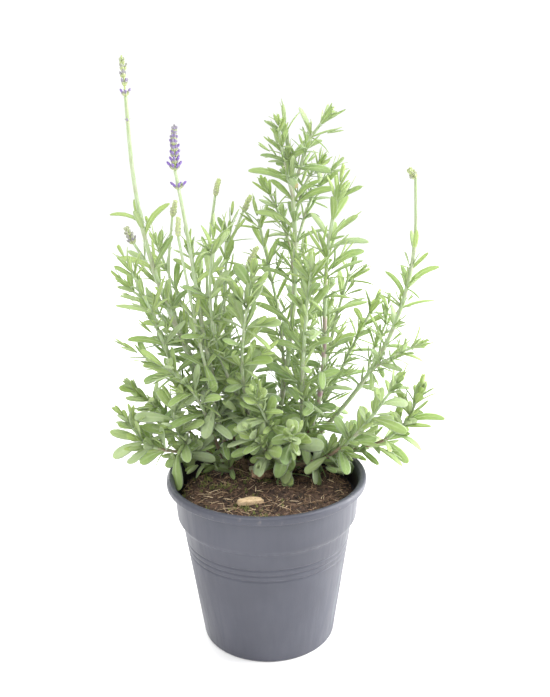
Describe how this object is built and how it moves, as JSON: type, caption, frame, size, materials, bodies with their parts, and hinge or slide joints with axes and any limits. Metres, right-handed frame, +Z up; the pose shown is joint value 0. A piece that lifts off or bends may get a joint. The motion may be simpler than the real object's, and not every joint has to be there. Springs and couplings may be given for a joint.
{
  "type": "potted lavender",
  "caption": "Young lavender in a round tapered nursery pot: upright and low leafy shoots with narrow paired leaves, thin flower stems with small purple heads, bark on dark soil.",
  "frame": {"origin": "middle of the pot's flat underside, on the surface the pot stands on", "axes": "+Z up along the pot's axis, -Y towards the open side where the soil shows, +X to the right seen from there"},
  "size_m": [0.2417, 0.1729, 0.431],
  "materials": {
    "pot_plastic": "satin slate grey moulded plastic",
    "soil": "damp crumbly dark peat with fibres and straw",
    "woody_stem": "rough young bark",
    "bark": "torn dry bark",
    "flower": "soft downy buds and petals",
    "flower_stem": "downy pale green stalk",
    "leafy_shoot": "soft matte green leaf with silvery down"
  },
  "bodies": {
    "root": {"pot": "pot_plastic", "potting_soil": "soil", "woody_stem_left": "woody_stem", "woody_stem_low_left": "woody_stem", "woody_stem_middle": "woody_stem", "woody_stem_right": "woody_stem", "woody_stem_back": "woody_stem", "woody_stem_back_right": "woody_stem", "woody_stem_front": "woody_stem", "cut_stub": "woody_stem", "bark_piece": "bark", "wood_chip": "bark", "flower_stem_tall": "flower_stem", "flower_stem_purple": "flower_stem", "flower_stem_slim": "flower_stem", "flower_stem_leaning": "flower_stem", "flower_stem_back": "flower_stem", "flower_stem_front": "flower_stem", "flower_stem_outer": "flower_stem", "flower_stem_short": "flower_stem", "flower_stem_right": "flower_stem", "shoot_tall": "leafy_shoot", "shoot_tall_branch_right": "leafy_shoot", "shoot_tall_branch_left": "leafy_shoot", "shoot_tall_branch_high": "leafy_shoot", "shoot_tall_branch_back": "leafy_shoot", "shoot_tall_branch_low": "leafy_shoot", "shoot_second": "leafy_shoot", "shoot_right_back": "leafy_shoot", "shoot_right_upper": "leafy_shoot", "shoot_right_outer": "leafy_shoot", "shoot_front_right": "leafy_shoot", "shoot_low_right": "leafy_shoot", "shoot_front_low": "leafy_shoot", "shoot_front_rosette": "leafy_shoot", "shoot_front_upper": "leafy_shoot", "shoot_low_left": "leafy_shoot", "shoot_low_left_back": "leafy_shoot", "shoot_low_left_upright": "leafy_shoot", "shoot_left_rear": "leafy_shoot", "shoot_left_forward": "leafy_shoot", "shoot_left_outer": "leafy_shoot", "shoot_left_lower": "leafy_shoot", "shoot_back_left": "leafy_shoot", "shoot_inner_left": "leafy_shoot", "shoot_inner_middle": "leafy_shoot", "shoot_back_middle": "leafy_shoot", "shoot_front_tall": "leafy_shoot", "shoot_middle_right": "leafy_shoot", "shoot_back_right": "leafy_shoot", "shoot_back_outer": "leafy_shoot", "flower_head_tall": "flower", "flower_head_purple": "flower", "flower_head_slim": "flower", "flower_head_leaning": "flower", "flower_head_back": "flower", "flower_head_front": "flower", "flower_head_outer": "flower", "flower_head_short": "flower", "flower_head_right": "flower"}
  },
  "joints": []
}
